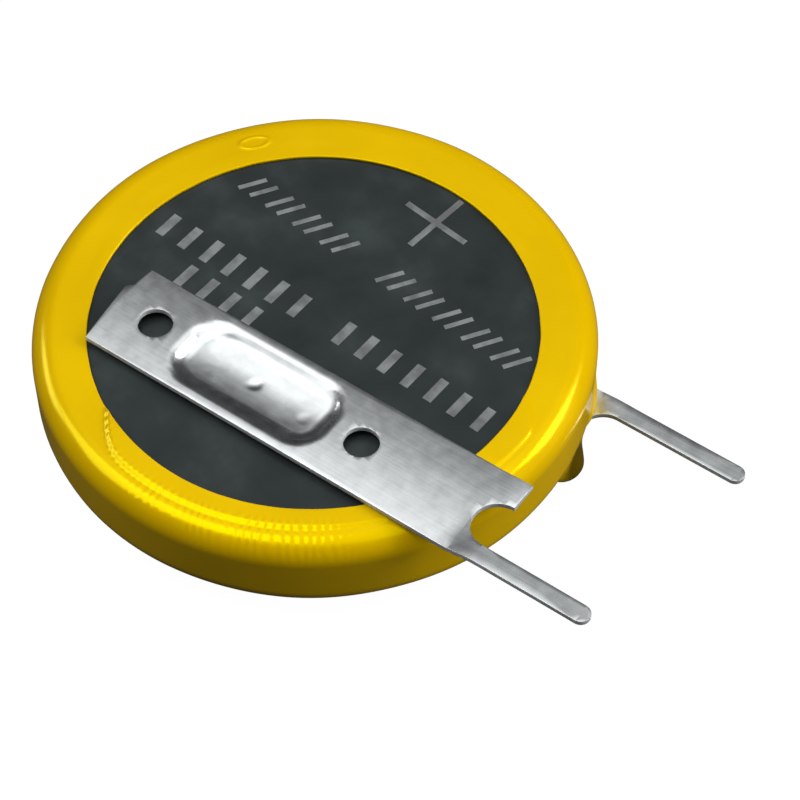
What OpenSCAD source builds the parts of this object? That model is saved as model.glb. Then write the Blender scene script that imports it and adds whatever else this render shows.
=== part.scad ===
// Lithium coin cell with two flat solder tabs and a shrunk-on film sleeve.
// Frame: the cell's axis is Z, the positive face looks up (+Z), both solder pins run along +X.
// z = 0 is the outer face of the negative cap.

/* [Cell] */
// Diameter of the positive can
can_d = 20; // [18.5:0.5:24.5]
// Height of the bare cell, face to face
cell_h = 3.2; // [2.8:0.1:5]
// Sheet thickness of the can
can_t = 0.25; // [0.2:0.05:0.3]
// Outer radius of the edge round the positive face
face_r = 0.55; // [0.4:0.05:0.8]
// Outer radius of the crimped edge on the negative side
crimp_r = 0.8; // [0.6:0.05:0.9]
// Length of the flat lip past the crimp's round
crimp_lip = 0.5; // [0.3:0.05:0.7]
// How far the cap stands proud of the crimped lip
cap_proud = 0.1; // [0.05:0.01:0.15]

/* [Negative cap and gasket] */
// From the can's outside to the edge of the cap's raised face
cap_inset = 2; // [1.95:0.05:3.5]
// Sheet thickness of the cap
cap_t = 0.25; // [0.2:0.05:0.3]
// Outer radius round the cap's face
cap_edge_r = 0.35; // [0.32:0.01:0.45]
// Height of the cap's shoulder above its face
shoulder_z = 0.62; // [0.6:0.01:0.75]
// Outer radius of the shoulder where it turns into the skirt
shoulder_r = 0.4; // [0.35:0.05:0.6]
// Gasket wall between can and cap
gasket_t = 0.35; // [0.25:0.05:0.4]
// Gasket under the skirt's edge
gasket_base = 0.5; // [0.3:0.05:0.7]
// Radial length of the gasket's foot, inwards from the skirt
gasket_foot = 0.9; // [0.5:0.05:1.2]
// Groove left open between the gasket's lip and the cap's well
groove_w = 0.15; // [0.05:0.05:0.3]

/* [Inside] */
// Clearance between the loose inner discs and the metal round them
inner_gap = 0.05; // [0.02:0.01:0.1]
// Thickness of the separator disc
separator_t = 0.2; // [0.1:0.02:0.3]
// Sheet thickness of the collector ring round the pellet
ring_t = 0.2; // [0.1:0.05:0.25]
// Width of the collector ring's flange on the can floor
ring_flange = 0.9; // [0.5:0.1:1.5]

/* [Film sleeve] */
// Thickness of the shrunk film
film_t = 0.12; // [0.08:0.01:0.16]
// Width of the film's band on the positive face
band_top_w = 1.95; // [1:0.05:3]
// How far that band sits off centre, along the pins and across them
window_shift = [0.17, -0.27]; // [-0.4:0.01:0.4]
// Width of the film's band on the negative face
band_bottom_w = 1.4; // [1.2:0.05:1.7]
// How far the film runs out beside the negative tab before it lies on the can
tent_run = 1.1; // [0.6:0.1:1.5]
// Edge radius of the film where it bridges the negative tab
tent_r = 0.3; // [0.2:0.05:0.4]
// Corner radius of the film over the tab's ear, seen in plan
ear_corner_r = 0.3; // [0.1:0.05:0.4]

/* [Solder tabs] */
// Sheet thickness of the tabs
tab_t = 0.2; // [0.15:0.05:0.25]
// Width of the tab strip
strip_w = 3.75; // [3.6:0.05:4.5]
// From the cell's axis plane to the strip's outer edge
strip_edge_y = 5.58; // [5:0.02:6]
// Centre of the pressed pocket from the axis, positive tab
pocket_x = 0.26; // [-0.5:0.02:0.6]
// How much nearer the axis the negative tab sits
negative_back = 0.65; // [0.3:0.05:0.7]
// From the can's far side to the positive tab's parted end
back_inset = 4.11; // [3.9:0.01:4.5]
// How far the parted end slants out
end_slant = 0.28; // [0.1:0.02:0.4]
// Small step beside the slant
end_step = 0.08; // [0.02:0.02:0.1]
// From the strip's middle to the slant's far corner
slant_y = 0.72; // [0.5:0.02:0.9]
// From the strip's middle to the foot of the step
step_y = 0.94; // [0.92:0.02:1.2]
// How far the positive tab's ear reaches past the can
ear_over = 0.56; // [0.4:0.02:0.8]
// Pitch of the two round holes
hole_pitch = 9; // [8.9:0.05:9.4]
// Diameter of the round holes
hole_d = 1.28; // [0.8:0.02:1.4]
// Width of a solder pin
pin_w = 0.72; // [0.5:0.02:0.9]
// How far the pins' tips stand out past the can
pin_out = 5.05; // [3:0.05:10]
// Radius of the notch between ear and pin
notch_r = 0.96; // [0.7:0.02:1]
// How far each pin's root is set up towards the positive face
pin_set = 0.12; // [0.05:0.01:0.2]
// Length of that sloping root
pin_set_l = 0.9; // [0.6:0.1:1.5]

/* [Pressed pocket] */
// Depth of the pocket, which holds the strip off the cell
pocket_depth = 0.3; // [0.25:0.01:0.36]
// Length of the pocket at its rim
pocket_l = 6.8; // [5.5:0.1:7.2]
// Width of the pocket at its rim
pocket_w = 3.3; // [2.9:0.05:3.3]
// Corner radius of the rim
pocket_r = 1.3; // [1.2:0.05:1.4]
// Bend radius at the rim, to the middle of the sheet
rim_bend_r = 0.45; // [0.4:0.05:0.6]
// Bend radius at the floor, to the middle of the sheet
floor_bend_r = 0.75; // [0.6:0.05:0.8]
// Distance between the two weld pits
weld_pitch = 2.56; // [2:0.1:3]
// Radius of the weld electrode's tip
weld_tip_r = 0.5; // [0.4:0.05:0.8]
// Depth of a weld pit
weld_depth = 0.07; // [0.04:0.01:0.1]

/* [Hidden] */
$fn = 96;
// Overlap of cuts that end on a face, and run of cuts past what they cut
eps = 0.01;
over = 1;
// Lap of the pocket's wall into the flat sheet on both sides
lap = 0.05;

// Can
can_r = can_d / 2;
lip_z = cap_proud;
wall_z = lip_z + crimp_r;
lip_in_r = can_r - crimp_r - crimp_lip;
floor_z = cell_h - can_t;

// Cap and gasket
cap_r = can_r - cap_inset;
skirt_r = can_r - can_t - gasket_t;
skirt_top = floor_z - gasket_base;
gasket_in_r = cap_r + groove_w;

// Inner stack, from the cap towards the can's floor
lithium_top = shoulder_z + cap_t;
lithium_r = cap_r - max(cap_edge_r, cap_t + inner_gap);
separator_r = skirt_r - max(shoulder_r, cap_t + inner_gap);
separator_top = lithium_top + separator_t;
ring_r = skirt_r - cap_t - gasket_foot - inner_gap;
pellet_r = ring_r - ring_t;

// Tabs: one stamping, used twice
strip_half = strip_w / 2;
strip_in_y = strip_edge_y - strip_w;
strip_mid_y = strip_edge_y - strip_half;
strip_back = can_r - back_inset + pocket_x;
strip_front = can_r + ear_over - pocket_x;
ear_w = strip_w - pin_w - 2 * notch_r;
root_x = strip_front - notch_r;
tab_z = cell_h + pocket_depth;
pin_reach = can_r + pin_out;
positive_x = pocket_x;
negative_x = pocket_x - negative_back;
bend_steps = 6;
bend = acos(1 - pocket_depth / (rim_bend_r + floor_bend_r));
wall_run = (rim_bend_r + floor_bend_r) * sin(bend);

// Film
tent_z = -pocket_depth - tab_t;
tent_steps = 10;

// A quarter of a round, as the corner of a solid section
module outer_corner(r) {
    intersection() {
        square(r);
        circle(r);
    }
}

// Half section of the closed can, grown outwards by g, from the axis out
module can_section(g = 0) {
    translate([0, lip_z - g]) square([can_r - crimp_r, cell_h - lip_z + 2 * g]);
    translate([0, wall_z]) square([can_r + g, cell_h - wall_z - face_r]);
    translate([0, wall_z]) square([can_r - face_r, cell_h - wall_z + g]);
    translate([can_r - crimp_r, wall_z]) mirror([0, 1]) outer_corner(crimp_r + g);
    translate([can_r - face_r, cell_h - face_r]) outer_corner(face_r + g);
}

// Deep-drawn can: positive face, wall and the edge crimped in over the gasket
module positive_can() {
    color("dimgray")
        rotate_extrude()
            difference() {
                can_section(0);
                can_section(-can_t);
                translate([-over, -over]) square([lip_in_r + over, lip_z + can_t + over + eps]);
            }
}

// Half section of the cap's outer form, grown outwards by g: well, shoulder and skirt up to top
module cap_section(g, top) {
    translate([0, -g]) square([cap_r - cap_edge_r, top + g]);
    translate([0, cap_edge_r]) square([cap_r + g, top - cap_edge_r]);
    translate([cap_r - cap_edge_r, cap_edge_r]) mirror([0, 1]) outer_corner(cap_edge_r + g);
    translate([0, shoulder_z - g]) square([skirt_r - shoulder_r, top - shoulder_z + g]);
    translate([0, shoulder_z + shoulder_r]) square([skirt_r + g, top - shoulder_z - shoulder_r]);
    translate([skirt_r - shoulder_r, shoulder_z + shoulder_r]) mirror([0, 1]) outer_corner(shoulder_r + g);
}

// Plastic seal: foot under the skirt, wall outside it, lip folded over the shoulder
module gasket() {
    color("whitesmoke")
        rotate_extrude()
            difference() {
                intersection() {
                    can_section(-can_t);
                    translate([gasket_in_r, 0]) square([can_r, cell_h]);
                }
                cap_section(0, skirt_top);
                translate([0, shoulder_z]) square([ring_r + inner_gap, cell_h]);
            }
}

// Cap pressed from sheet: face, well wall, shoulder and skirt
module negative_cap() {
    color("silver")
        rotate_extrude()
            difference() {
                cap_section(0, skirt_top);
                cap_section(-cap_t, skirt_top + over);
            }
}

module lithium_disc() {
    color("lightsteelblue")
        translate([0, 0, cap_t]) cylinder(h = lithium_top - cap_t, r = lithium_r);
}

module separator() {
    color("white")
        translate([0, 0, lithium_top]) cylinder(h = separator_t, r = separator_r);
}

// Pressed pellet, stepped where the collector's flange grips it
module cathode_pellet() {
    color("black") {
        translate([0, 0, separator_top])
            cylinder(h = floor_z - ring_t - separator_top, r = pellet_r);
        translate([0, 0, floor_z - ring_t]) cylinder(h = ring_t, r = pellet_r - ring_flange);
    }
}

module collector_ring() {
    color("gray")
        rotate_extrude() {
            translate([pellet_r, separator_top]) square([ring_t, floor_z - separator_top]);
            translate([pellet_r - ring_flange, floor_z - ring_t]) square([ring_flange + ring_t, ring_t]);
        }
}

// Rounded rectangle, centred, with true arcs
module round_rect(l, w, r) {
    square([l - 2 * r, w], center = true);
    square([l, w - 2 * r], center = true);
    for (x = [-1, 1], y = [-1, 1])
        translate([x * (l / 2 - r), y * (w / 2 - r)]) circle(r);
}

// Flat outline of the stamping out to the pin's tip, pocket centre at the origin, pin on the -Y side
module tab_outline(tip) {
    difference() {
        union() {
            polygon([[-strip_back, strip_half], [-strip_back - end_step, step_y],
                [-strip_back - end_slant, slant_y], [-strip_back, -strip_half],
                [strip_front, -strip_half], [strip_front, strip_half]]);
            translate([0, -strip_half]) square([tip - pin_w / 2, pin_w]);
            translate([tip - pin_w / 2, -strip_half + pin_w / 2]) circle(pin_w / 2);
        }
        translate([strip_front, -strip_half + pin_w + notch_r]) circle(notch_r);
    }
}

// Part of the outline that belongs to the pin, from the notch's inner end outwards
module pin_zone(tip) {
    translate([root_x, -strip_w]) square([tip - root_x + over, strip_half + pin_w + notch_r]);
}

// Points along an arc, from its first or second step on
function arc_points(centre, r, from, to, first = 0) =
    [for (i = [first:bend_steps])
        let (a = from + (to - from) * i / bend_steps)
            centre + r * [cos(a), sin(a)]];

// Section of the pocket's wall: two bends of sheet, from the flat strip down to the floor, lapped into both.
// x = 0 is the corner's centre, y = 0 the strip's lower face.
module wall_section() {
    rim = [pocket_r, tab_t / 2 - rim_bend_r];
    foot = [pocket_r - wall_run, tab_t / 2 - pocket_depth + floor_bend_r];
    polygon([
        [pocket_r + lap, tab_t],
        each arc_points(rim, rim_bend_r + tab_t / 2, 90, 90 + bend),
        each arc_points(foot, floor_bend_r - tab_t / 2, 270 + bend, 270, 1),
        [foot[0] - lap, tab_t - pocket_depth],
        [foot[0] - lap, -pocket_depth],
        each arc_points(foot, floor_bend_r + tab_t / 2, 270, 270 + bend),
        each arc_points(rim, rim_bend_r - tab_t / 2, 90 + bend, 90, 1),
        [pocket_r + lap, 0]]);
}

// Pressed pocket: floor with its weld pits, four straight walls and four turned corners
module pocket() {
    half_l = pocket_l / 2 - pocket_r;
    half_w = pocket_w / 2 - pocket_r;
    floor_r = pocket_r - wall_run;
    difference() {
        translate([0, 0, -pocket_depth])
            linear_extrude(tab_t)
                round_rect(2 * (half_l + floor_r), 2 * (half_w + floor_r), floor_r);
        for (side = [-0.5, 0.5])
            translate([side * weld_pitch, 0, tab_t - pocket_depth - weld_depth + weld_tip_r])
                sphere(weld_tip_r);
    }
    for (x = [0, 1], y = [0, 1])
        mirror([x, 0]) mirror([0, y]) translate([half_l, half_w]) rotate_extrude(angle = 90) wall_section();
    for (a = [0, 180])
        rotate(a) {
            translate([half_l, half_w]) rotate([90, 0, 0]) linear_extrude(2 * half_w) wall_section();
            translate([-half_l, half_w]) rotate([90, 0, 90]) linear_extrude(2 * half_l) wall_section();
        }
}

// Pin with its root set by rise: its side view, cut to the stamping's outline
module set_pin(tip, rise) {
    set_x = root_x + pin_set_l;
    intersection() {
        translate([0, 0, -over]) linear_extrude(2 * over)
            intersection() {
                tab_outline(tip);
                pin_zone(tip);
            }
        rotate([90, 0, 0]) translate([0, 0, -strip_w]) linear_extrude(2 * strip_w)
            polygon([[root_x, 0], [set_x, rise], [tip + over, rise], [tip + over, rise + tab_t],
                [set_x, rise + tab_t], [root_x, tab_t]]);
    }
}

// One tab as stamped, strip's lower face at z = 0 and the pocket hanging below it
module tab(tip, rise) {
    linear_extrude(tab_t)
        difference() {
            tab_outline(tip);
            pin_zone(tip);
            round_rect(pocket_l, pocket_w, pocket_r);
            for (side = [-0.5, 0.5]) translate([side * hole_pitch, 0]) circle(hole_d / 2);
        }
    pocket();
    set_pin(tip, rise);
}

module positive_tab() {
    color("lightgray")
        translate([positive_x, -strip_mid_y, tab_z]) tab(pin_reach - positive_x, pin_set);
}

// Turns a stamping over and seats its pocket on the negative cap
module place_negative() {
    translate([negative_x, strip_mid_y, -pocket_depth]) rotate([180, 0, 0]) children();
}

module negative_tab() {
    color("lightgray")
        place_negative() tab(pin_reach - negative_x, -pin_set);
}

// Film bridging the negative tab, grown by g: level under the strip, falling away on both sides in a
// smooth wave, and cut to the can's rim with a rounded edge
module tent(g) {
    drop = wall_z - tent_z + g;
    wave = [for (i = [0:tent_steps]) [tent_run * i / tent_steps,
        wall_z - drop * (1 + cos(180 * i / tent_steps)) / 2]];
    intersection() {
        rotate([90, 0, 90]) linear_extrude(can_r + over)
            polygon([for (p = wave) [strip_edge_y + g + p[0], p[1]],
                for (i = [tent_steps:-1:0]) [strip_in_y - g - wave[i][0], wave[i][1]]]);
        rotate_extrude() {
            translate([0, tent_z - g]) square([can_r - tent_r, wall_z - tent_z]);
            translate([0, tent_z + tent_r]) square([can_r + g, wall_z - tent_z - tent_r]);
            translate([can_r - tent_r, tent_z + tent_r]) mirror([0, 1]) outer_corner(tent_r + g);
        }
    }
}

// Film drawn over the ear's end, which stands past the rim, and up to the side wall, grown by g: a side
// view along the pins, cut to a plan with round corners
module ear_bulge(g) {
    ear_x = negative_x + strip_front;
    ear_z = tent_z + tab_t / 2;
    edge_r = tab_t / 2 + g;
    wall_x = sqrt(can_r * can_r - (strip_in_y + ear_w) * (strip_in_y + ear_w)) - edge_r;
    lean = atan((ear_x - tab_t / 2 - wall_x) / (wall_z - ear_z));
    intersection() {
        translate([0, strip_in_y + ear_w + over, 0]) rotate([90, 0, 0]) linear_extrude(ear_w + 2 * over)
            polygon([
                [wall_x - over, tent_z - g],
                each arc_points([ear_x - tab_t / 2, ear_z], edge_r, -90, lean),
                [wall_x + edge_r * cos(lean), wall_z + edge_r * sin(lean)],
                [wall_x - over, wall_z]]);
        translate([wall_x, strip_in_y + ear_w / 2, tent_z - over]) linear_extrude(wall_z - tent_z + 2 * over)
            round_rect(2 * (ear_x + g - wall_x), ear_w + 2 * g, ear_corner_r + g);
    }
}

module film_sleeve() {
    color("gold")
        difference() {
            union() {
                rotate_extrude() can_section(film_t);
                tent(film_t);
                ear_bulge(film_t);
            }
            rotate_extrude() can_section(0);
            tent(0);
            ear_bulge(0);
            place_negative() linear_extrude(tab_t) tab_outline(pin_reach);
            place_negative() set_pin(pin_reach, -pin_set);
            translate([window_shift[0], window_shift[1], cell_h - eps])
                cylinder(h = over, r = can_r - band_top_w);
            translate([0, 0, -2 * over]) cylinder(h = 2 * over + lip_z + eps, r = can_r - band_bottom_w);
        }
}

positive_can();
gasket();
negative_cap();
lithium_disc();
separator();
cathode_pellet();
collector_ring();
film_sleeve();
positive_tab();
negative_tab();
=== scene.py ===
"""Dresses the lithium coin cell: its shrunk film, steel tabs, printed face and studio."""

import math

import bmesh
import bpy
from bpy.props import FloatProperty, FloatVectorProperty, IntProperty, PointerProperty
from mathutils import Matrix, Vector, noise


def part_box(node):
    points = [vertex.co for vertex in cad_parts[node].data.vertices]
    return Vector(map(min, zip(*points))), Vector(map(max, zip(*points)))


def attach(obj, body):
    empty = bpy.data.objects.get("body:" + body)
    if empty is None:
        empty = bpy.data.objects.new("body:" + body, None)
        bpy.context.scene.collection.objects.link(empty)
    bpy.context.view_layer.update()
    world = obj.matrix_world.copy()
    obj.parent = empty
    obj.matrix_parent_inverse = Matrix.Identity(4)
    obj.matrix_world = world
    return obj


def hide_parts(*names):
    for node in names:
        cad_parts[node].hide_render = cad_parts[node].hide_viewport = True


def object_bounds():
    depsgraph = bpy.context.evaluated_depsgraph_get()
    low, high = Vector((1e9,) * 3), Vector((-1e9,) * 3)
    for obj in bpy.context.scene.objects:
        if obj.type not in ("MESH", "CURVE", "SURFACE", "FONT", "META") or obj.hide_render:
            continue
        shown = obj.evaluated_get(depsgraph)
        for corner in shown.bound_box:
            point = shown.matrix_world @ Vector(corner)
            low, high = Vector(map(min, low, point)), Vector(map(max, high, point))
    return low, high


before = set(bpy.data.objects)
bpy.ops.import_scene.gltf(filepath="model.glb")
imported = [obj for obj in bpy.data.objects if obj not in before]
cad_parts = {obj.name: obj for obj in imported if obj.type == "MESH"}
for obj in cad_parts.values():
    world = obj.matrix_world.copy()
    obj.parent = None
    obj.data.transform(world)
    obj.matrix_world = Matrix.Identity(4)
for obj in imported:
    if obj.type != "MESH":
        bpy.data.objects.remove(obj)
CAD_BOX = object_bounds()

bl_info = {
    "name": "Coin cell finish",
    "version": (1, 0, 0),
    "blender": (4, 5, 0),
    "location": "View3D > Sidebar > Coin cell",
    "description": "Film sleeve, tab steel, face print and studio for a tabbed coin cell",
    "category": "Object",
}

MM = 0.001

# Radii, heights and edges read from the CAD nodes
CAN_LOW, CAN_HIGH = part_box("positive_can")
TAB_LOW, TAB_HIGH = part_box("negative_tab")
CAN_R = CAN_HIGH[0]
FACE_Z = CAN_HIGH[2]
LIP_Z = CAN_LOW[2]
TAB_Z = TAB_LOW[2]
TAB_EDGE_Y = TAB_HIGH[1]
FILM_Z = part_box("film_sleeve")[0][2]

# The stamping: its strip, and where the pocket sits on the positive tab
SHEET = 0.2 * MM
STRIP_W = 3.75 * MM
STRIP_IN = 1.83 * MM
POCKET_X = 0.26 * MM
POCKET_L = 6.8 * MM
POCKET_W = 3.3 * MM
NEGATIVE_BACK = 0.65 * MM
# The source's two weld pits
PIT_PITCH = 2.56 * MM
PIT_R = 0.26 * MM
PIT_DEPTH = 0.07 * MM
# The pin, and the root that sets it up towards the positive face
PIN_W = 0.72 * MM
PIN_Z = -0.3 * MM
PIN_ROOT = 9.6 * MM
PIN_SET = 0.12 * MM
PIN_SET_L = 0.9 * MM

# Points closer than this are one, and points nearer a level than this lie on it
MERGE = 0.0005 * MM
LEVEL = 0.001 * MM


class FilmSettings(bpy.types.PropertyGroup):
    thickness: FloatProperty(
        name="Film thickness", description="Thickness of the shrunk film",
        default=0.12 * MM, unit="LENGTH",
    )
    band_top: FloatProperty(
        name="Top band", description="Width of the film's band on the positive face",
        default=1.95 * MM, unit="LENGTH",
    )
    band_bottom: FloatProperty(
        name="Bottom band", description="Width of the film's band on the negative face",
        default=1.4 * MM, unit="LENGTH",
    )
    shift: FloatVectorProperty(
        name="Window shift", description="How far the film's window sits off centre", size=2,
        default=(0.17 * MM, -0.27 * MM), unit="LENGTH",
    )
    face_r: FloatProperty(
        name="Face edge", description="Radius of the film's inner side at the face's edge",
        default=0.78 * MM, unit="LENGTH",
    )
    crimp_r: FloatProperty(
        name="Crimp edge", description="Radius of the crimped edge under the film",
        default=0.8 * MM, unit="LENGTH",
    )
    tent_run: FloatProperty(
        name="Bridge run", description="How far the film runs out beside the negative tab",
        default=1.1 * MM, unit="LENGTH",
    )
    lean: FloatProperty(
        name="Bridge lean", description="How far the bridge's foot draws in from the wall",
        default=0.3 * MM, unit="LENGTH",
    )
    tent_r: FloatProperty(
        name="Bridge edge", description="Edge radius of the film over the negative tab",
        default=0.3 * MM, unit="LENGTH",
    )
    steps: IntProperty(
        name="Steps", description="Steps round the sleeve", default=480, min=96, max=720
    )
    colour: FloatVectorProperty(
        name="Colour", description="Colour of the film", subtype="COLOR", size=3,
        default=(0.55, 0.34, 0.0), min=0, max=1,
    )


class PrintSettings(bpy.types.PropertyGroup):
    plus_size: FloatProperty(
        name="Plus size", description="Length of the plus mark's arms",
        default=2.86 * MM, unit="LENGTH",
    )
    stroke: FloatProperty(
        name="Stroke", description="Width of a printed stroke", default=0.24 * MM, unit="LENGTH"
    )
    row_height: FloatProperty(
        name="Row height", description="Height of a printed row", default=1.1 * MM, unit="LENGTH"
    )
    lift: FloatProperty(
        name="Ink", description="Thickness of the print", default=0.006 * MM, unit="LENGTH"
    )
    colour: FloatVectorProperty(
        name="Colour", description="Colour of the print", subtype="COLOR", size=3,
        default=(0.13, 0.138, 0.138), min=0, max=1,
    )


class MetalSettings(bpy.types.PropertyGroup):
    tab_colour: FloatVectorProperty(
        name="Tab", description="Colour of the tab's steel", subtype="COLOR", size=3,
        default=(0.7, 0.73, 0.74), min=0, max=1,
    )
    edge_colour: FloatVectorProperty(
        name="Sheared edge", description="Colour of the tab's sheared edges",
        subtype="COLOR", size=3, default=(0.46, 0.48, 0.48), min=0, max=1,
    )
    can_colour: FloatVectorProperty(
        name="Can", description="Colour of the can's face", subtype="COLOR", size=3,
        default=(0.029, 0.036, 0.036), min=0, max=1,
    )
    cap_colour: FloatVectorProperty(
        name="Cap", description="Colour of the negative cap", subtype="COLOR", size=3,
        default=(0.5, 0.51, 0.52), min=0, max=1,
    )
    edge: FloatProperty(
        name="Edge", description="Rounding of the tab's cut edges",
        default=0.035 * MM, unit="LENGTH",
    )
    crown: FloatProperty(
        name="Crown", description="How far the strip's long edges drop below its middle",
        default=0.06 * MM, unit="LENGTH",
    )
    dish: FloatProperty(
        name="Dish",
        description="Rise of the pocket's floor in its first 0.6 mm from its lowest line",
        default=0.045 * MM, unit="LENGTH",
    )


class StudioSettings(bpy.types.PropertyGroup):
    distance: FloatProperty(
        name="Distance", description="Camera to the middle of the face",
        default=98.73 * MM, unit="LENGTH",
    )
    azimuth: FloatProperty(
        name="Azimuth", description="Camera's bearing, from the front towards the pins",
        default=math.radians(38.21), subtype="ANGLE",
    )
    elevation: FloatProperty(
        name="Elevation", description="Camera's height over the face", default=math.radians(51.015),
        subtype="ANGLE",
    )
    roll: FloatProperty(
        name="Roll", description="Turn of the camera about its line of sight",
        default=math.radians(-2.084), subtype="ANGLE",
    )
    aim: FloatVectorProperty(
        name="Aim",
        description="How far the aim passes the face's middle, right and down, as slopes",
        size=2, default=(0.03083, 0.02972),
    )
    lens: FloatProperty(name="Lens", description="Focal length in millimetres", default=124.8)
    sky: FloatProperty(name="Sky", description="Strength of the soft ceiling", default=1.5)
    strip_power: FloatProperty(
        name="Strip light", description="Power of the long light at the left",
        default=0.3, unit="POWER",
    )
    strip_low: FloatVectorProperty(
        name="Strip low end", description="Where the strip light starts", subtype="XYZ", size=3,
        default=(-0.184, -0.094, 0.14), unit="LENGTH",
    )
    strip_high: FloatVectorProperty(
        name="Strip high end", description="Where the strip light ends", subtype="XYZ", size=3,
        default=(0.014, -0.048, 0.244), unit="LENGTH",
    )
    lamp_power: FloatProperty(
        name="Far lamp", description="Power of the soft lamp at the far right",
        default=0.2, unit="POWER",
    )
    lamp_at: FloatVectorProperty(
        name="Far lamp place", description="Where the soft lamp stands", subtype="XYZ", size=3,
        default=(0.119, 0.142, 0.167), unit="LENGTH",
    )
    side_power: FloatProperty(
        name="Side lamp", description="Power of the wide low lamp at the right",
        default=0.65, unit="POWER",
    )
    side_at: FloatVectorProperty(
        name="Side lamp place", description="Where the wide low lamp stands", subtype="XYZ", size=3,
        default=(0.207, 0.11, 0.085), unit="LENGTH",
    )
    low_power: FloatProperty(
        name="Low lamp", description="Power of the small low lamp at the left",
        default=0.08, unit="POWER",
    )
    low_at: FloatVectorProperty(
        name="Low lamp place", description="Where the small low lamp stands", subtype="XYZ", size=3,
        default=(-0.221, -0.039, 0.11), unit="LENGTH",
    )
    floor_colour: FloatVectorProperty(
        name="Floor", description="Colour of the floor", subtype="COLOR", size=3,
        default=(0.03, 0.03, 0.03), min=0, max=1,
    )


class CellSettings(bpy.types.PropertyGroup):
    film: PointerProperty(type=FilmSettings)
    print: PointerProperty(type=PrintSettings)
    metal: PointerProperty(type=MetalSettings)
    studio: PointerProperty(type=StudioSettings)


def settings():
    return bpy.context.scene.coin_cell


# Small helpers for meshes


def new_piece(name, bm, material):
    """A finished mesh object at the origin, riding on the cell."""
    mesh = bpy.data.meshes.new(name)
    bm.to_mesh(mesh)
    bm.free()
    piece = bpy.data.objects.new(name, mesh)
    bpy.context.scene.collection.objects.link(piece)
    mesh.materials.append(material)
    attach(piece, "root")
    return piece


def smooth_step(low, high, value):
    """0 up to low, 1 from high on, and a smooth wave between."""
    t = max(0.0, min(1.0, (value - low) / (high - low)))
    return (1 - math.cos(math.pi * t)) / 2


def plateau(value, low, high, run):
    """1 between low and high, falling smoothly to 0 over run on both sides."""
    return smooth_step(low - run, low, value) * (1 - smooth_step(high, high + run, value))


# Materials


def new_material(name):
    material = bpy.data.materials.new(name)
    material.use_nodes = True
    tree = material.node_tree
    return material, tree, tree.nodes["Principled BSDF"]


def add_node(tree, kind, **values):
    node = tree.nodes.new(kind)
    for key, value in values.items():
        setattr(node, key, value)
    return node


def feed(tree, socket, value):
    """Links an input to an output, or gives it a plain value."""
    if isinstance(value, bpy.types.NodeSocket):
        tree.links.new(value, socket)
    else:
        socket.default_value = value


def object_place(tree):
    """The coordinates that every pattern on the cell follows."""
    return add_node(tree, "ShaderNodeTexCoord").outputs["Object"]


def noise_texture(tree, place, scale, detail):
    """Noise as a mask from 0 to 1."""
    node = add_node(tree, "ShaderNodeTexNoise")
    for label, value in (("Vector", place), ("Scale", scale), ("Detail", detail)):
        feed(tree, node.inputs[label], value)
    return node.outputs["Fac"]


def math_node(tree, operation, first, second=None):
    """A maths node; its inputs are outputs of other nodes or numbers."""
    node = add_node(tree, "ShaderNodeMath", operation=operation)
    feed(tree, node.inputs[0], first)
    if second is not None:
        feed(tree, node.inputs[1], second)
    return node.outputs["Value"]


def map_range(tree, value, low, high):
    """Value from 0 to 1 spread between low and high."""
    node = add_node(tree, "ShaderNodeMapRange")
    for label, number in (("Value", value), ("To Min", low), ("To Max", high)):
        feed(tree, node.inputs[label], number)
    return node.outputs["Result"]


def smooth_range(tree, value, start, end, low=0.0, high=1.0):
    """Low up to start, high from end on, and a smooth wave between."""
    node = add_node(tree, "ShaderNodeMapRange", interpolation_type="SMOOTHSTEP")
    feed(tree, node.inputs["Value"], value)
    for label, number in (("From Min", start), ("From Max", end), ("To Min", low), ("To Max", high)):
        feed(tree, node.inputs[label], number)
    return node.outputs["Result"]


def distance_from(tree, place, point):
    node = add_node(tree, "ShaderNodeVectorMath", operation="DISTANCE")
    feed(tree, node.inputs[0], place)
    feed(tree, node.inputs[1], point)
    return node.outputs["Value"]


def shared_group(name, inputs, outputs):
    """A shader node group with named sockets; returns the group and its input and output nodes."""
    group = bpy.data.node_groups.new(name, "ShaderNodeTree")
    for label, kind, default in inputs:
        socket = group.interface.new_socket(label, in_out="INPUT", socket_type=kind)
        if default is not None:
            socket.default_value = default
    for label, kind in outputs:
        group.interface.new_socket(label, in_out="OUTPUT", socket_type=kind)
    return group, group.nodes.new("NodeGroupInput"), group.nodes.new("NodeGroupOutput")


def rolled_grain_group():
    """Fine lines left by rolling along X, and cloudy patches, both as masks from 0 to 1."""
    if "Rolled grain" in bpy.data.node_groups:
        return bpy.data.node_groups["Rolled grain"]
    group, source, result = shared_group(
        "Rolled grain",
        [("Vector", "NodeSocketVector", None), ("Patch Size", "NodeSocketFloat", 700.0)],
        [("Lines", "NodeSocketFloat"), ("Patches", "NodeSocketFloat")],
    )
    place = source.outputs["Vector"]
    stretch = add_node(group, "ShaderNodeVectorMath", operation="MULTIPLY")
    feed(group, stretch.inputs[0], place)
    feed(group, stretch.inputs[1], (300.0, 9000.0, 9000.0))
    lines = noise_texture(group, stretch.outputs[0], 1.0, 4.0)
    patches = noise_texture(group, place, source.outputs["Patch Size"], 5.0)
    feed(group, result.inputs["Lines"], lines)
    feed(group, result.inputs["Patches"], patches)
    return group


def ramp_colours(tree, factor, stops):
    """A colour ramp fed by factor; stops are (position, colour)."""
    ramp = add_node(tree, "ShaderNodeValToRGB")
    elements = ramp.color_ramp.elements
    elements[0].position, elements[0].color = stops[0][0], (*stops[0][1], 1)
    elements[1].position, elements[1].color = stops[-1][0], (*stops[-1][1], 1)
    for position, colour in stops[1:-1]:
        elements.new(position).color = (*colour, 1)
    tree.links.new(factor, ramp.inputs["Fac"])
    return ramp.outputs["Color"]


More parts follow.
